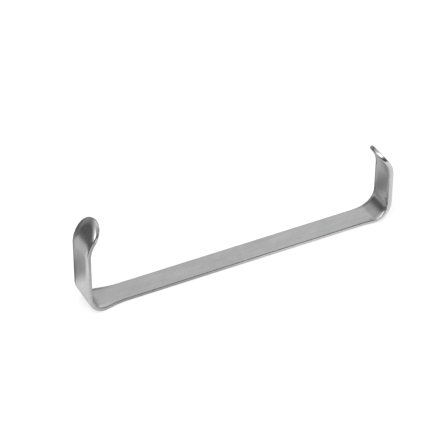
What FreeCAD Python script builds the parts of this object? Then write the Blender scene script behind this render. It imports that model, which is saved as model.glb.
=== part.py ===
import FreeCAD, Part
import math
import os

# Handheld surgical retractor with two ends: one flat steel strip, bent into a
# long low U. The middle is the shank that the hand holds. At each end the strip
# grows wider, turns up through a heel into a blade, tall at -X and short at +X,
# and ends in a rounded lip that is turned in over the shank.
#
# Millimetres. X runs along the shank, Y across the strip, Z up.
# The origin is the middle of the shank's underside.

OVERALL_LENGTH = 150.0       # outside of one blade to outside of the other
SHANK_WIDTH = 11.3
STRIP_THICKNESS = 1.8
EDGE_ROUNDING = 0.6          # all round both broad faces
SMOOTH_LIMIT_DEG = 30.0      # faces that meet at more than this have an edge

# The tall end. Radii of bends run to the middle of the thickness. Each lip is
# straight beyond its bend only for the length of its half-round tip.
TALL_BLADE_WIDTH = 15.6
TALL_HEEL_RADIUS = 7.6
TALL_BLADE_TOP = 29.2        # height at which the lip's bend starts
TALL_LIP_TURN_DEG = 35.0
TALL_LIP_BEND_RADIUS = 13.4
TALL_FLARE_ON_SHANK = 11.0   # how far before the heel the strip starts to widen
TALL_FLARE_IN_HEEL = 6.5     # how far into the heel it has the blade's width

# The short end.
SHORT_BLADE_WIDTH = 13.3
SHORT_HEEL_RADIUS = 8.5
SHORT_BLADE_TOP = 23.9
SHORT_LIP_TURN_DEG = 35.5
SHORT_LIP_BEND_RADIUS = 12.0
SHORT_FLARE_ON_SHANK = 5.9
SHORT_FLARE_IN_HEEL = 6.5

HALF_LENGTH = OVERALL_LENGTH / 2.0
HALF_THICKNESS = STRIP_THICKNESS / 2.0
HALF_SHANK = SHANK_WIDTH / 2.0
ORIGIN = FreeCAD.Vector(0, 0, 0)
ACROSS = FreeCAD.Vector(0, 1, 0)
UP = FreeCAD.Vector(0, 0, 1)


def heading(degrees):
    """Unit vector in the XZ plane, at an angle from +X towards +Z."""
    angle = math.radians(degrees)
    return FreeCAD.Vector(math.cos(angle), 0, math.sin(angle))


class Walk:
    """A walk along the middle of the strip that draws one of its broad faces.

    The hand is +1 for a walk towards +X and -1 for one towards -X, so that it
    always turns towards the inside of the U. The offset is positive for the
    face on the inside and negative for the one on the outside.
    """

    def __init__(self, start, hand, offset):
        self.here = start
        self.hand = hand
        self.angle = 90.0 - 90.0 * hand
        self.offset = offset
        self.edges = []
        self.root = self.face_point()

    def inward(self, angle):
        return heading(angle + 90.0 * self.hand)

    def face_point(self):
        return self.here + self.inward(self.angle) * self.offset

    def straight(self, length):
        first = self.face_point()
        self.here = self.here + heading(self.angle) * length
        self.edges.append(Part.makeLine(first, self.face_point()))

    def bend(self, radius, turn):
        centre = self.here + self.inward(self.angle) * radius
        first = self.face_point()
        middle = self.angle + self.hand * turn / 2.0
        halfway = centre - self.inward(middle) * (radius - self.offset)
        self.angle = self.angle + self.hand * turn
        self.here = centre - self.inward(self.angle) * radius
        self.edges.append(Part.Arc(first, halfway, self.face_point()).toShape())


class End:
    """The sizes of one end, and what is drawn from them."""

    def __init__(self, hand, blade, lip, flare):
        self.hand = hand
        self.width, self.heel_radius, self.blade_top = blade
        self.lip_turn, self.lip_radius = lip
        self.flare_before, self.flare_past = flare

    def heel_x(self):
        """Where the shank ends and the heel's bend starts."""
        return self.hand * (HALF_LENGTH - HALF_THICKNESS - self.heel_radius)

    def heel_top(self):
        """Where the heel's bend ends and the upright blade starts."""
        return HALF_THICKNESS + self.heel_radius

    def walk(self, offset):
        walk = Walk(FreeCAD.Vector(self.heel_x(), 0, HALF_THICKNESS), self.hand, offset)
        walk.bend(self.heel_radius, 90.0)
        walk.straight(self.blade_top - self.heel_top())
        walk.bend(self.lip_radius, self.lip_turn)
        return walk

    def edge_line(self, side):
        """One edge of the strip seen from above, from mid-shank to past the blade."""
        half_blade = self.width / 2.0
        start = self.heel_x() - self.hand * self.flare_before
        end = self.heel_x() + self.hand * self.flare_past
        quarter = (end - start) / 4.0
        grow = half_blade - HALF_SHANK
        radius = (4.0 * quarter ** 2 + grow ** 2 / 4.0) / grow
        sag = radius - math.sqrt(radius ** 2 - quarter ** 2)
        middle = flat_point(0.0, side * HALF_SHANK)
        slim = flat_point(start, side * HALF_SHANK)
        turning = flat_point(start + 2.0 * quarter, side * (HALF_SHANK + half_blade) / 2.0)
        wide = flat_point(end, side * half_blade)
        past = flat_point(self.hand * OVERALL_LENGTH, side * half_blade)
        first = Part.Arc(slim, flat_point(start + quarter, side * (HALF_SHANK + sag)), turning)
        second = Part.Arc(turning, flat_point(end - quarter, side * (half_blade - sag)), wide)
        lines = [Part.makeLine(middle, slim), Part.makeLine(wide, past)]
        return lines + [first.toShape(), second.toShape()]

    def heel_space(self):
        """All that lies within the outline of shank and heel, up to the heel's top."""
        near, far = 0.0, self.hand * OVERALL_LENGTH
        edges = self.edge_line(1.0) + self.edge_line(-1.0)
        edges.append(Part.makeLine(flat_point(near, -HALF_SHANK), flat_point(near, HALF_SHANK)))
        edges.append(Part.makeLine(flat_point(far, -self.width / 2.0), flat_point(far, self.width / 2.0)))
        outline = Part.Face(Part.Wire(Part.__sortEdges__(edges)))
        outline.translate(-UP * OVERALL_LENGTH)
        return outline.extrude(UP * (OVERALL_LENGTH + self.heel_top()))

    def blade_space(self):
        """All above the heel that is within the blade's width."""
        near_x = min(0.0, self.hand * OVERALL_LENGTH)
        corner = FreeCAD.Vector(near_x, -self.width / 2.0, self.heel_top())
        return Part.makeBox(OVERALL_LENGTH, self.width, OVERALL_LENGTH, corner)

    def tip(self):
        """The straight half-round tip, a half disc set on the end of the lip's bend."""
        walk = self.walk(0.0)
        bottom = -UP * HALF_THICKNESS
        tip = Part.makeCylinder(self.width / 2.0, STRIP_THICKNESS, bottom, UP, 180.0)
        tip.rotate(ORIGIN, UP, -90.0)
        tip.rotate(ORIGIN, ACROSS, -walk.angle)
        tip.translate(walk.here)
        return tip


def flat_point(x, y):
    return FreeCAD.Vector(x, y, 0)


def side_profile(tall, short):
    """The bent strip without its tips, seen from the side, as a face in the XZ plane."""
    edges = []
    ends = {}
    for offset in (HALF_THICKNESS, -HALF_THICKNESS):
        walks = [tall.walk(offset), short.walk(offset)]
        shank = Part.makeLine(walks[0].root, walks[1].root)
        edges = edges + walks[0].edges + [shank] + walks[1].edges
        ends[offset] = [walk.face_point() for walk in walks]
    for inner, outer in zip(ends[HALF_THICKNESS], ends[-HALF_THICKNESS]):
        edges.append(Part.makeLine(inner, outer))
    return Part.Face(Part.Wire(Part.__sortEdges__(edges)))


def is_corner(solid, edge):
    """True where the two faces at an edge don't run smoothly into each other."""
    faces = solid.ancestorsOfType(edge, Part.Face)
    if len(faces) != 2:
        return False
    point = edge.valueAt((edge.FirstParameter + edge.LastParameter) / 2.0)
    normals = []
    for face in faces:
        u, v = face.Surface.parameter(point)
        normals.append(face.normalAt(u, v))
    return abs(normals[0].dot(normals[1])) < math.cos(math.radians(SMOOTH_LIMIT_DEG))


def retractor():
    """The strip: its bent side, cut to its flat outline, with every edge rounded."""
    tall = End(
        -1,
        (TALL_BLADE_WIDTH, TALL_HEEL_RADIUS, TALL_BLADE_TOP),
        (TALL_LIP_TURN_DEG, TALL_LIP_BEND_RADIUS),
        (TALL_FLARE_ON_SHANK, TALL_FLARE_IN_HEEL),
    )
    short = End(
        1,
        (SHORT_BLADE_WIDTH, SHORT_HEEL_RADIUS, SHORT_BLADE_TOP),
        (SHORT_LIP_TURN_DEG, SHORT_LIP_BEND_RADIUS),
        (SHORT_FLARE_ON_SHANK, SHORT_FLARE_IN_HEEL),
    )
    full_width = max(TALL_BLADE_WIDTH, SHORT_BLADE_WIDTH, SHANK_WIDTH)
    profile = side_profile(tall, short)
    profile.translate(-ACROSS * full_width)
    blank = profile.extrude(ACROSS * 2.0 * full_width)
    pieces = []
    for end in (tall, short):
        pieces += [blank.common(end.heel_space()), blank.common(end.blade_space()), end.tip()]
    square = pieces[0].fuse(pieces[1:]).removeSplitter().Solids[0]
    corners = [edge for edge in square.Edges if is_corner(square, edge)]
    return square.makeFillet(EDGE_ROUNDING, corners)


os.makedirs("parts", exist_ok=True)
strip = retractor()
strip.exportStep("parts/retractor_strip.step")
print("volume", round(strip.Volume, 2), "valid", strip.isValid(), "solids", len(strip.Solids))
print("faces", len(strip.Faces), "box", strip.optimalBoundingBox(False))
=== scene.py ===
import math

import bpy
from mathutils import Matrix, Vector


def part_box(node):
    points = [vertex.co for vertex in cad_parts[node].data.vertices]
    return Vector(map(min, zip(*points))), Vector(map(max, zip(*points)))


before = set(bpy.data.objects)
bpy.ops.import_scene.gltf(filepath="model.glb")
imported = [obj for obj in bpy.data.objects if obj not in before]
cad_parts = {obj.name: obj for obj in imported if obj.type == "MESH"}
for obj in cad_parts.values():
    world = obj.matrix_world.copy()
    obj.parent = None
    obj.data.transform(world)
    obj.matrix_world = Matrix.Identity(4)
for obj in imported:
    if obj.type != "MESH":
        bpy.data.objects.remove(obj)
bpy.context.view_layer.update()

bl_info = {
    "name": "Handheld surgical retractor",
    "version": (1, 0, 0),
    "blender": (4, 5, 0),
    "location": "View3D > Sidebar > Retractor",
    "description": "Satin steel finish, floor, lamp and camera for a handheld retractor",
    "category": "Object",
}

# Everything here is in metres and radians unless its name says otherwise.
STRIP = "retractor_strip"
STRIP_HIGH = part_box(STRIP)[1]
SENSOR_WIDTH_MM = 36.0
CAMERA_CLIP = (0.01, 20.0)

THICKNESS = 0.0018
SHANK_HALF_WIDTH = 0.00565
BLADE_FADE = 0.006              # the rolled border grows in over the flare and this much more
LIP_FADE = 0.010                # the border widens over this length before each tip

# How squarely a face must look out of the flat strip to count as a broad face.
RIM_FACING = (0.35, 0.97)
RIM_TONE = 0.05                 # how much lighter the rubbed rim is
RIM_GRAIN = 0.3                 # the share of the brush lines' depth left on the rim

# Grains of the finish: their size along, across and through the strip, then the noise's detail and
# roughness. Brush lines and streaks have their size in the steel's settings.
RUBS = ((0.00625, 0.00077, 0.0014), 2.0, 0.55)
CLOUDS = ((0.0111, 0.0067, 0.0111), 3.0, 0.55)
MARKS = ((0.0048, 0.0042, 0.0050), 4.0, 0.62)
WAVES = ((0.0083, 0.0067, 0.0100), 1.0, 0.4)
LINE_NOISE = (3.0, 0.6)
STREAK_NOISE = (2.0, 0.5)
STREAK_WIDTH = 2.0              # in widths of a brush line
RUB_WAY = (0.72, 0.69)          # the way the cross rubs run, along and across

# The share of each grain in the tone, the roughness and the brushed depth.
TONE_SHARES = {"streaks": 0.26, "rubs": 0.20, "clouds": 0.32, "lines": 0.14, "marks": 0.07}
ROUGH_SHARES = {"clouds": 0.08, "rubs": 0.07}
ROUGH_LINES = 0.05              # on the broad faces alone
DEPTH_SHARES = {"lines": 0.6, "rubs": 0.5, "streaks": 0.4}

# Levels of the floor and the room, with white as 1.
FLOOR_CAMERA_PAPER = 0.55       # to all but the steel
FLOOR_CAMERA_GLOW = 0.58        # to the camera alone
FLOOR_STEEL_PAPER = 0.80
FLOOR_STEEL_GLOW = 0.23
ROOM_FILL = 0.78                # what lights the floor

# Painted pools of light and painted shade on the floor, seen only in the steel's reflections.
# The floor as the steel sees it. A border is a pair: where a zone starts and where it
# is full. A slant is how far a border leans for each metre along the other axis.
BEYOND_LEVELS = (0.88, 0.60)    # past the tall end, in front and behind
BEYOND_BORDER = (-0.004, 0.012)
BEYOND_SLANT = 0.25
# Painted shadow under the strip, and painted light that rises to the right:
UNDER_LEVEL = 0.50              # under the strip, before the rise to the right
UNDER_BORDER = (-0.085, -0.055)
RISE = 0.38                     # how much paler the floor is to the right
RISE_BORDER = (-0.05, 0.04)

# Painted shade close behind the strip, seen in the steel:
BAND_LEVEL = 0.31               # a dark band close behind the strip
BAND_SLANT = 0.055
BAND_SHIFT = (-0.07, 0.05)      # from the left to the right values of the next three
BAND_STARTS = (0.009, 0.004)
BAND_FULL = (0.018, 0.022)
BAND_FADED = (0.75, 0.60)
BAND_FADE = (0.023, 0.036)
BAND_TALL_END = (-0.105, -0.078)

FARTHER_LEVEL = 0.35            # past that band
FARTHER_X = (-0.09, -0.05)
FARTHER_Y = (0.036, 0.056)

FAR_LEVEL = 0.30                # well behind the strip
FAR_RIGHT_REACH = (0.08, 0.38)
FAR_RIGHT_Y = (0.0, 0.07)
FAR_LEFT_SLANT = 0.7
FAR_LEFT_BORDER = (-0.012, 0.02)
FAR_LEFT_X = (0.08, 0.11)

LEFT_LEVEL = 0.12               # well to the left, in front
LEFT_X = (0.12, 0.23)
LEFT_Y = (-0.01, 0.05)

FRONT_LEVEL = 0.12
FRONT_SHIFT = (0.02, 0.11)      # from the right to the left values of the next two
FRONT_STARTS = (0.15, 0.05)
FRONT_FULL = (0.45, 0.14)

DISTANT_LEVEL = 0.30            # an even floor beyond all these zones, behind
DISTANT_Y = (0.12, 0.25)
DISTANT_SLANT = 0.6
DISTANT_BORDER = (-0.03, 0.03)

# The room as the steel sees it: a painted reflection, seen in the steel alone. Borders are on the
# axes of a direction of length 1.
ROOM_DARK = 0.10
BACK_WALL_LEVEL = 0.26
BACK_WALL_X = (-0.62, -0.15)
BACK_WALL_Y = (0.2, 0.6)
BACK_WALL_DOWN = (-0.55, -0.25)
RIGHT_WALL_LEVEL = 0.14
RIGHT_WALL_X = (0.35, 0.9)
CEILING_LEVEL = 0.62
CEILING_BORDER = (0.36, 0.62)
CEILING_DROP = 0.25             # how much lower it comes down to the right
FAR_CEILING_LEVEL = 0.40        # behind, except on the right
FAR_CEILING_FULL = 0.78
FAR_CEILING_LEFT = (-0.36, -0.09)
FAR_CEILING_Y = (0.25, 0.65)
NEAR_CEILING_LEVEL = 0.22       # in front on the right
NEAR_CEILING_X = (0.1, 0.3)
NEAR_CEILING_FRONT = (-0.15, 0.1)


class Bend:
    """One bend of the strip seen from the side: its centre, its radius and its turn.

    The radius runs to the middle of the strip's thickness.
    """

    def __init__(self, reach, height, radius, turn_deg):
        self.reach = reach
        self.height = height
        self.radius = radius
        self.turn = math.radians(turn_deg)


class End:
    """One end of the strip: its two bends, its width and where its flare and tip are.

    The flare and the tip are placed by distances along the flat strip. The lip is
    given by the height of its bend's centre, its radius and its turn in degrees.
    """

    def __init__(self, half_width, flare, heel_radius, lip):
        lip_height, lip_radius, lip_turn_deg = lip
        blade = STRIP_HIGH.x - THICKNESS / 2.0
        self.half_width = half_width
        self.flare_start, self.flare_end = flare
        self.heel = Bend(blade - heel_radius, THICKNESS / 2.0 + heel_radius, heel_radius, 90.0)
        self.lip = Bend(blade - lip_radius, lip_height, lip_radius, lip_turn_deg)
        upright = lip_height - self.heel.height
        bends = heel_radius * self.heel.turn + lip_radius * self.lip.turn
        self.tip_start = self.heel.reach + upright + bends


TALL = End(
    half_width=0.0078, flare=(0.0555, 0.0743), heel_radius=0.0076, lip=(0.0292, 0.0134, 35.0),
)
SHORT = End(
    half_width=0.00665, flare=(0.0597, 0.0730), heel_radius=0.0085, lip=(0.0239, 0.0120, 35.5),
)


class Value:
    """A socket that can be used in sums, so that shader maths reads as maths."""

    def __init__(self, tree, socket):
        self.tree = tree
        self.socket = socket

    def math(self, operation, *others):
        return self.tree.math(operation, self, *others)

    def __add__(self, other):
        return self.math("ADD", other)

    def __radd__(self, other):
        return self.tree.math("ADD", other, self)

    def __sub__(self, other):
        return self.math("SUBTRACT", other)

    def __rsub__(self, other):
        return self.tree.math("SUBTRACT", other, self)

    def __mul__(self, other):
        return self.math("MULTIPLY", other)

    def __rmul__(self, other):
        return self.tree.math("MULTIPLY", other, self)

    def __truediv__(self, other):
        return self.math("DIVIDE", other)

    def __neg__(self):
        return self.math("MULTIPLY", -1.0)


class Tree:
    """Adds nodes to a material or world and links them."""

    def __init__(self, owner):
        owner.use_nodes = True
        self.nodes = owner.node_tree.nodes
        self.links = owner.node_tree.links
        self.nodes.clear()

    def node(self, kind, settings=None, **inputs):
        """One node: its settings first, then the values or links of its sockets.

        A socket is named with underscores for spaces, or by _ and its number.
        """
        made = self.nodes.new(kind)
        for name, value in (settings or {}).items():
            setattr(made, name, value)
        for name, value in inputs.items():
            key = int(name[1:]) if name[1:].isdigit() else name.replace("_", " ")
            self.feed(made.inputs[key], value)
        return made

    def feed(self, socket, value):
        if isinstance(value, Value):
            self.links.new(value.socket, socket)
        else:
            socket.default_value = value

    def out(self, node, name=0):
        return Value(self, node.outputs[name])

    def math(self, operation, *values):
        inputs = {"_%d" % place: value for place, value in enumerate(values)}
        return self.out(self.node("ShaderNodeMath", {"operation": operation}, **inputs))

    def smooth(self, value, start, end):
        """0 before the start, 1 past the end, smooth between."""
        settings = {"interpolation_type": "SMOOTHSTEP"}
        made = self.node("ShaderNodeMapRange", settings, Value=value, From_Min=start, From_Max=end)
        return self.out(made)

    def parts(self, vector):
        made = self.node("ShaderNodeSeparateXYZ", Vector=vector)
        return [self.out(made, axis) for axis in "XYZ"]

    def vector(self, x, y, z):
        return self.out(self.node("ShaderNodeCombineXYZ", X=x, Y=y, Z=z))

    def finish(self, kind, shader):
        end = self.node(kind)
        self.links.new(shader.outputs[0], end.inputs["Surface"])


def between(mask, low, high):
    """low where the mask is 0 and high where it is 1."""
    return low + mask * (high - low)


class RetractorSteel(bpy.types.PropertyGroup):
    colour: bpy.props.FloatVectorProperty(
        name="Colour", description="Colour of the bare steel", subtype="COLOR",
        size=3, min=0.0, max=1.0, default=(0.64, 0.64, 0.645),
    )
    face_roughness: bpy.props.FloatProperty(
        name="Face roughness", description="Roughness of the satin broad faces",
        subtype="FACTOR", min=0.0, max=1.0, default=0.24,
    )
    rim_roughness: bpy.props.FloatProperty(
        name="Rim roughness", description="Roughness of the rubbed, brighter edges",
        subtype="FACTOR", min=0.0, max=1.0, default=0.08,
    )
    line_length: bpy.props.FloatProperty(
        name="Line length", description="Length of the brush lines along the strip",
        subtype="DISTANCE", default=0.016,
    )
    line_width: bpy.props.FloatProperty(
        name="Line width", description="Width of the brush lines",
        subtype="DISTANCE", default=0.00028,
    )
    line_depth: bpy.props.FloatProperty(
        name="Line depth", description="Depth of the brush lines",
        subtype="DISTANCE", default=0.000002,
    )
    wave_height: bpy.props.FloatProperty(
        name="Wave height", description="Unevenness of the hand-finished faces",
        subtype="DISTANCE", default=0.00007,
    )
    roll_width: bpy.props.FloatProperty(
        name="Rolled edge", description="Width of the softly rolled border of the blades",
        subtype="DISTANCE", default=0.0024,
    )
    lip_roll_width: bpy.props.FloatProperty(
        name="Rolled edge of the lips", description="Width of that border round the tips",
        subtype="DISTANCE", default=0.0043,
    )
    roll_slope: bpy.props.FloatProperty(
        name="Roll slope", description="Slope of the rolled border at the strip's outline",
        subtype="FACTOR", min=0.0, max=1.0, default=0.62,
    )


class RetractorStage(bpy.types.PropertyGroup):
    azimuth: bpy.props.FloatProperty(
        name="Azimuth", description="Where the camera stands, from -Y towards +X",
        subtype="ANGLE", default=math.radians(-27.53),
    )
    elevation: bpy.props.FloatProperty(
        name="Elevation", description="Height of the camera above the horizon",
        subtype="ANGLE", default=math.radians(36.58),
    )
    roll: bpy.props.FloatProperty(
        name="Roll", description="Turn of the camera about its line of sight",
        subtype="ANGLE", default=math.radians(0.22),
    )
    distance: bpy.props.FloatProperty(
        name="Distance", description="From the camera to the point it looks at",
        subtype="DISTANCE", default=0.88236,
    )
    aim: bpy.props.FloatVectorProperty(
        name="Aim", description="The point that the camera looks at",
        subtype="TRANSLATION", size=3, default=(-0.0038, 0.0144, 0.01485),
    )
    lens: bpy.props.FloatProperty(
        name="Lens", description="Focal length of the camera",
        subtype="DISTANCE_CAMERA", min=1.0, default=167.67,
    )
    floor_side: bpy.props.FloatProperty(
        name="Floor", description="Side of the square floor", subtype="DISTANCE", default=6.0,
    )
    lamp_azimuth: bpy.props.FloatProperty(
        name="Lamp azimuth", description="Where the lamp stands, from -Y towards +X",
        subtype="ANGLE", default=math.radians(-46.0),
    )
    lamp_elevation: bpy.props.FloatProperty(
        name="Lamp elevation", description="Height of the lamp above the horizon",
        subtype="ANGLE", default=math.radians(52.0),
    )
    lamp_distance: bpy.props.FloatProperty(
        name="Lamp distance", description="From the origin to the lamp",
        subtype="DISTANCE", default=0.9,
    )
    lamp_aim: bpy.props.FloatVectorProperty(
        name="Lamp aim", description="The point that the lamp shines at",
        subtype="TRANSLATION", size=3, default=(0.0, 0.0, 0.02),
    )
    lamp_size: bpy.props.FloatVectorProperty(
        name="Lamp size", description="Width and height of the soft box",
        subtype="XYZ_LENGTH", size=2, default=(1.36, 0.42),
    )
    lamp_radiance: bpy.props.FloatProperty(
        name="Lamp radiance", description="How bright the soft box looks, with white as 1",
        min=0.0, default=1.45,
    )


def unroll(tree, x, z):
    """The strip laid flat: distance along it, depth through it, and its turn.

    First the lip is turned back about the centre of its bend, in line with the
    upright blade. Then the whole blade is turned down about the centre of the
    heel, in line with the shank.
    """
    short = tree.math("GREATER_THAN", x, 0.0)
    out = x.math("ABSOLUTE")
    lip_x = between(short, TALL.lip.reach, SHORT.lip.reach)
    lip_z = between(short, TALL.lip.height, SHORT.lip.height)
    lip_radius = between(short, TALL.lip.radius, SHORT.lip.radius)
    lip_turn = between(short, TALL.lip.turn, SHORT.lip.turn)
    heel_x = between(short, TALL.heel.reach, SHORT.heel.reach)
    heel_z = between(short, TALL.heel.height, SHORT.heel.height)
    heel_radius = between(short, TALL.heel.radius, SHORT.heel.radius)

    dx, dz = out - lip_x, z - lip_z
    lip_angle = tree.math("ARCTAN2", dz, dx).math("MAXIMUM", 0.0).math("MINIMUM", lip_turn)
    cos, sin = lip_angle.math("COSINE"), lip_angle.math("SINE")
    out = lip_x + dx * cos + dz * sin
    up = lip_z + lip_radius * lip_angle + dz * cos - dx * sin

    dx, dz = out - heel_x, heel_z - up
    heel_angle = tree.math("ARCTAN2", dx, dz).math("MAXIMUM", 0.0).math("MINIMUM", math.pi / 2.0)
    cos, sin = heel_angle.math("COSINE"), heel_angle.math("SINE")
    along = heel_x + heel_radius * heel_angle + dx * cos - dz * sin
    depth = dx * sin + dz * cos
    side = 2.0 * short - 1.0
    return along * side, depth, (lip_angle + heel_angle) * side


def edge_distance(tree, along, y):
    """How far a point of the flat strip is inside its outline; then blade and lip masks.

    Each tip is a half circle as wide as its blade.
    """
    short = tree.math("GREATER_THAN", along, 0.0)
    out = along.math("ABSOLUTE")
    blade = between(short, TALL.half_width, SHORT.half_width)
    flare_start = between(short, TALL.flare_start, SHORT.flare_start)
    flare_end = between(short, TALL.flare_end, SHORT.flare_end)
    tip_start = between(short, TALL.tip_start, SHORT.tip_start)
    half = between(tree.smooth(out, flare_start, flare_end), SHANK_HALF_WIDTH, blade)
    past = (out - tip_start).math("MAXIMUM", 0.0)
    reach = (past * past + y * y).math("SQRT")
    on_blade = tree.smooth(out, flare_start, flare_end + BLADE_FADE)
    on_lip = tree.smooth(out - tip_start, -LIP_FADE, 0.0)
    return half - reach, on_blade, on_lip


def grain(tree, flat, size, detail, crumble):
    """Noise on the flat strip, about 0, in grains of a size along, across and through it."""
    scaled = [value * (1.0 / length) for value, length in zip(flat, size)]
    made = tree.node(
        "ShaderNodeTexNoise", {"noise_dimensions": "3D"}, Vector=tree.vector(*scaled),
        Scale=1.0, Detail=detail, Roughness=crumble,
    )
    return tree.out(made) - 0.5


def rolled_border(tree, steel, along, y):
    """How far the blades' and lips' softly rolled border lies under the broad face.

    It drops as a parabola, which has the roll's full slope at the outline.
    """
    inside, on_blade, on_lip = edge_distance(tree, along, y)
    width = between(on_lip, steel.roll_width, steel.lip_roll_width)
    rolled = (width - inside).math("MAXIMUM", 0.0)
    return rolled * rolled * (0.5 * steel.roll_slope) / width * on_blade


def grains(tree, steel, flat):
    """The layers of the finish, by name."""
    along, y, depth = flat
    length, width = steel.line_length, steel.line_width
    streak_width = width * STREAK_WIDTH
    lengthwise, crosswise = RUB_WAY
    slanted = (
        along * lengthwise + y * crosswise, along * crosswise - y * lengthwise, depth,
    )
    return {
        "lines": grain(tree, flat, (length, width, width), *LINE_NOISE),
        "streaks": grain(tree, flat, (length, streak_width, streak_width), *STREAK_NOISE),
        "rubs": grain(tree, slanted, *RUBS),
        "clouds": grain(tree, flat, *CLOUDS),
        "marks": grain(tree, flat, *MARKS),
        "waves": grain(tree, flat, *WAVES),
    }


def add_shares(start, layers, shares):
    """The start plus each named layer times its share."""
    total = start
    for name, share in shares.items():
        total = total + layers[name] * share
    return total


def steel_material(steel):
    """Satin steel: brushed along the strip, cross-rubbed, with brighter rubbed edges."""
    material = bpy.data.materials.new("satin steel")
    tree = Tree(material)
    place = tree.node("ShaderNodeTexCoord")
    x, y, z = tree.parts(tree.out(place, "Object"))
    nx, _, nz = tree.parts(tree.out(place, "Normal"))
    along, depth, turn = unroll(tree, x, z)
    layers = grains(tree, steel, (along, y, depth))

    facing = (nz * turn.math("COSINE") - nx * turn.math("SINE")).math("ABSOLUTE")
    rim = 1.0 - tree.smooth(facing, *RIM_FACING)

    colour = tree.node(
        "ShaderNodeVectorMath", {"operation": "SCALE"}, _0=tuple(steel.colour),
        Scale=add_shares(1.0, layers, TONE_SHARES) + rim * RIM_TONE,
    )
    rough = between(rim, steel.face_roughness, steel.rim_roughness)
    rough = add_shares(rough, layers, ROUGH_SHARES) + layers["lines"] * ROUGH_LINES * (1.0 - rim)
    brushed = add_shares(0.0, layers, DEPTH_SHARES) * between(rim, 1.0, RIM_GRAIN)
    height = brushed * steel.line_depth + layers["waves"] * steel.wave_height
    height = height - rolled_border(tree, steel, along, y)
    bump = tree.node("ShaderNodeBump", Strength=1.0, Distance=1.0, Height=height)
    shader = tree.node(
        "ShaderNodeBsdfPrincipled", Base_Color=tree.out(colour), Metallic=1.0,
        Roughness=rough, Normal=tree.out(bump),
    )
    tree.finish("ShaderNodeOutputMaterial", shader)
    return material


def near_strip(tree, x, y):
    """The floor's painted level near the strip, from past its tall end to its short end, with
    painted shadow under the strip and painted light rising to the right.
    """
    behind = tree.smooth(y + x * BEYOND_SLANT, *BEYOND_BORDER)
    beyond = between(behind, *BEYOND_LEVELS)
    level = between(tree.smooth(x, *UNDER_BORDER), beyond, UNDER_LEVEL)
    return level + RISE * tree.smooth(x, *RISE_BORDER)


def painted_shade_band(tree, x, y):
    """1 in the band of painted shade close behind the strip, which fades again behind that."""
    rightward = tree.smooth(x, *BAND_SHIFT)
    behind = y + x * BAND_SLANT
    start = between(rightward, *BAND_STARTS)
    full = between(rightward, *BAND_FULL)
    faded = tree.smooth(behind, *BAND_FADE) * between(rightward, *BAND_FADED)
    return tree.smooth(behind, start, full) * (1.0 - faded) * tree.smooth(x, *BAND_TALL_END)


def far_floor(tree, x, y):
    """1 well behind the strip, where the floor takes painted shade: past a distance on the right,
    past a slant on the left.
    """
    reach = (x * x + y * y).math("SQRT")
    right = tree.smooth(reach, *FAR_RIGHT_REACH) * tree.smooth(y, *FAR_RIGHT_Y)
    left = tree.smooth(y + x * FAR_LEFT_SLANT, *FAR_LEFT_BORDER)
    return between(tree.smooth(-x, *FAR_LEFT_X), right, left)


def front_floor(tree, x, y):
    """1 where painted shade darkens the floor in front of the strip, from closer by on the left
    than on the right.
    """
    leftward = tree.smooth(-x, *FRONT_SHIFT)
    start = between(leftward, *FRONT_STARTS)
    full = between(leftward, *FRONT_FULL)
    return tree.smooth(-y, start, full)


def painted_floor_reflection(tree, x, y):
    """How bright the steel sees the floor, zone by zone, with white as 1.

    These are painted pools of light and painted shade, seen in the steel alone: the floor is
    brightest near the strip and falls off to all sides.
    """
    farther = tree.smooth(y, *FARTHER_Y) * tree.smooth(x, *FARTHER_X)
    left = tree.smooth(-x, *LEFT_X) * tree.smooth(-y, *LEFT_Y)
    distant = tree.smooth(y, *DISTANT_Y) * tree.smooth(x + y * DISTANT_SLANT, *DISTANT_BORDER)

    level = near_strip(tree, x, y)
    level = level * between(painted_shade_band(tree, x, y), 1.0, BAND_LEVEL)
    level = level * between(farther, 1.0, FARTHER_LEVEL)
    level = level * between(far_floor(tree, x, y), 1.0, FAR_LEVEL)
    level = level * between(left, 1.0, LEFT_LEVEL)
    level = level * between(front_floor(tree, x, y), 1.0, FRONT_LEVEL)
    return between(distant, level, DISTANT_LEVEL)


def floor_material():
    """White to the camera, with the object's shadow, and painted pools of light and painted shade
    to the steel.
    """
    material = bpy.data.materials.new("white sheet with painted shade for the steel")
    tree = Tree(material)
    rays = tree.node("ShaderNodeLightPath")
    camera, glossy = tree.out(rays, "Is Camera Ray"), tree.out(rays, "Is Glossy Ray")
    x, y, _ = tree.parts(tree.out(tree.node("ShaderNodeTexCoord"), "Object"))
    painted_level = painted_floor_reflection(tree, x, y)
    paper = between(glossy, FLOOR_CAMERA_PAPER, painted_level * FLOOR_STEEL_PAPER)
    glow = camera * FLOOR_CAMERA_GLOW + glossy * painted_level * FLOOR_STEEL_GLOW
    white = tree.node("ShaderNodeBsdfDiffuse", Color=tree.vector(paper, paper, paper))
    light = tree.node("ShaderNodeEmission", Color=tree.vector(glow, glow, glow), Strength=1.0)
    both = tree.node("ShaderNodeAddShader", _0=tree.out(white), _1=tree.out(light))
    tree.finish("ShaderNodeOutputMaterial", both)
    return material


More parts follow.
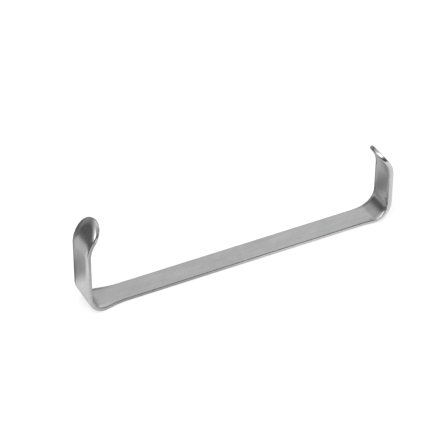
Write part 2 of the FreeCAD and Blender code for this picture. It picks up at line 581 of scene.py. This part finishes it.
def painted_room_reflection(tree, x, y, z):
    """How bright the steel sees the room in a direction, with white as 1.

    It is a painted reflection, seen in the steel alone: bright overhead, less so behind and least
    in front on the right, with paler walls behind and to the right. The rest is dark.
    """
    right = tree.smooth(x, *RIGHT_WALL_X)
    far = tree.smooth(-x, *FAR_CEILING_LEFT) * tree.smooth(y, *FAR_CEILING_Y)
    near = tree.smooth(-y, *NEAR_CEILING_FRONT) * tree.smooth(x, *NEAR_CEILING_X)
    start, full = CEILING_BORDER
    overhead = tree.smooth(z + right * CEILING_DROP, start, between(far, full, FAR_CEILING_FULL))
    ceiling = between(far, CEILING_LEVEL, FAR_CEILING_LEVEL)
    ceiling = between(near, ceiling, NEAR_CEILING_LEVEL)
    low = tree.smooth(-z, *BACK_WALL_DOWN)
    back = tree.smooth(x, *BACK_WALL_X) * tree.smooth(y, *BACK_WALL_Y) * low
    walls = ROOM_DARK + back * BACK_WALL_LEVEL + right * RIGHT_WALL_LEVEL
    return walls + overhead * ceiling


def studio_world():
    """White to the camera, a plain level to the floor, and a painted reflection of a room to the
    steel.
    """
    world = bpy.data.worlds.new("studio")
    bpy.context.scene.world = world
    tree = Tree(world)
    rays = tree.node("ShaderNodeLightPath")
    camera, glossy = tree.out(rays, "Is Camera Ray"), tree.out(rays, "Is Glossy Ray")
    x, y, z = tree.parts(tree.out(tree.node("ShaderNodeTexCoord"), "Generated"))
    level = between(camera, between(glossy, ROOM_FILL, painted_room_reflection(tree, x, y, z)), 1.0)
    sky = tree.node("ShaderNodeBackground", Color=tree.vector(level, level, level), Strength=1.0)
    tree.finish("ShaderNodeOutputWorld", sky)


def toward(azimuth, elevation, distance):
    """A point at a distance from the origin, with azimuth from -Y towards +X."""
    level = math.cos(elevation)
    way = Vector((math.sin(azimuth) * level, -math.cos(azimuth) * level, math.sin(elevation)))
    return way * distance


class RETRACTOR_OT_finish_strip(bpy.types.Operator):
    """Gives the bent strip its satin steel finish"""

    bl_idname = "retractor.finish_strip"
    bl_label = "Finish the strip"

    def execute(self, context):
        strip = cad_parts[STRIP]
        material = steel_material(context.scene.retractor_steel)
        for slot in strip.material_slots:
            slot.material = material
        return {"FINISHED"}


class RETRACTOR_OT_set_stage(bpy.types.Operator):
    """Sets the floor, the soft lamp, the white surround and the camera"""

    bl_idname = "retractor.set_stage"
    bl_label = "Set the stage"

    def execute(self, context):
        stage = context.scene.retractor_stage
        self.add_floor(context, stage)
        studio_world()
        self.add_lamp(context.scene, stage)
        self.add_camera(context.scene, stage)
        return {"FINISHED"}

    def add_floor(self, context, stage):
        bpy.ops.object.select_all(action="DESELECT")
        bpy.ops.mesh.primitive_plane_add(size=stage.floor_side)
        floor = context.object
        floor.name = "floor"
        floor.data.materials.append(floor_material())

    def add_lamp(self, scene, stage):
        """A soft box of a given radiance, pointed at the strip."""
        data = bpy.data.lights.new("key", "AREA")
        data.shape = "RECTANGLE"
        data.size, data.size_y = stage.lamp_size
        data.energy = stage.lamp_radiance * math.pi * data.size * data.size_y
        lamp = bpy.data.objects.new("key", data)
        scene.collection.objects.link(lamp)
        lamp.location = toward(stage.lamp_azimuth, stage.lamp_elevation, stage.lamp_distance)
        line = Vector(stage.lamp_aim) - lamp.location
        lamp.rotation_euler = line.to_track_quat("-Z", "Y").to_euler()

    def add_camera(self, scene, stage):
        data = bpy.data.cameras.new("camera")
        data.sensor_width = SENSOR_WIDTH_MM
        data.lens = stage.lens
        data.clip_start, data.clip_end = CAMERA_CLIP
        camera = bpy.data.objects.new("camera", data)
        scene.collection.objects.link(camera)
        back = toward(stage.azimuth, stage.elevation, 1.0)
        level = (-back).to_track_quat("-Z", "Y")
        camera.rotation_mode = "QUATERNION"
        camera.rotation_quaternion = level @ Matrix.Rotation(stage.roll, 3, "Z").to_quaternion()
        camera.location = Vector(stage.aim) + back * stage.distance
        scene.camera = camera


class RETRACTOR_PT_panel(bpy.types.Panel):
    bl_idname = "RETRACTOR_PT_panel"
    bl_label = "Retractor"
    bl_space_type = "VIEW_3D"
    bl_region_type = "UI"
    bl_category = "Retractor"

    def draw(self, context):
        layout = self.layout
        layout.operator(RETRACTOR_OT_finish_strip.bl_idname)
        layout.operator(RETRACTOR_OT_set_stage.bl_idname)


CLASSES = (
    RetractorSteel,
    RetractorStage,
    RETRACTOR_OT_finish_strip,
    RETRACTOR_OT_set_stage,
    RETRACTOR_PT_panel,
)


def register():
    for item in CLASSES:
        bpy.utils.register_class(item)
    bpy.types.Scene.retractor_steel = bpy.props.PointerProperty(type=RetractorSteel)
    bpy.types.Scene.retractor_stage = bpy.props.PointerProperty(type=RetractorStage)


def unregister():
    del bpy.types.Scene.retractor_stage
    del bpy.types.Scene.retractor_steel
    for item in reversed(CLASSES):
        bpy.utils.unregister_class(item)


def main():
    register()
    bpy.context.scene.view_settings.view_transform = "Standard"
    bpy.ops.retractor.finish_strip()
    bpy.ops.retractor.set_stage()


if __name__ == "__main__":
    main()
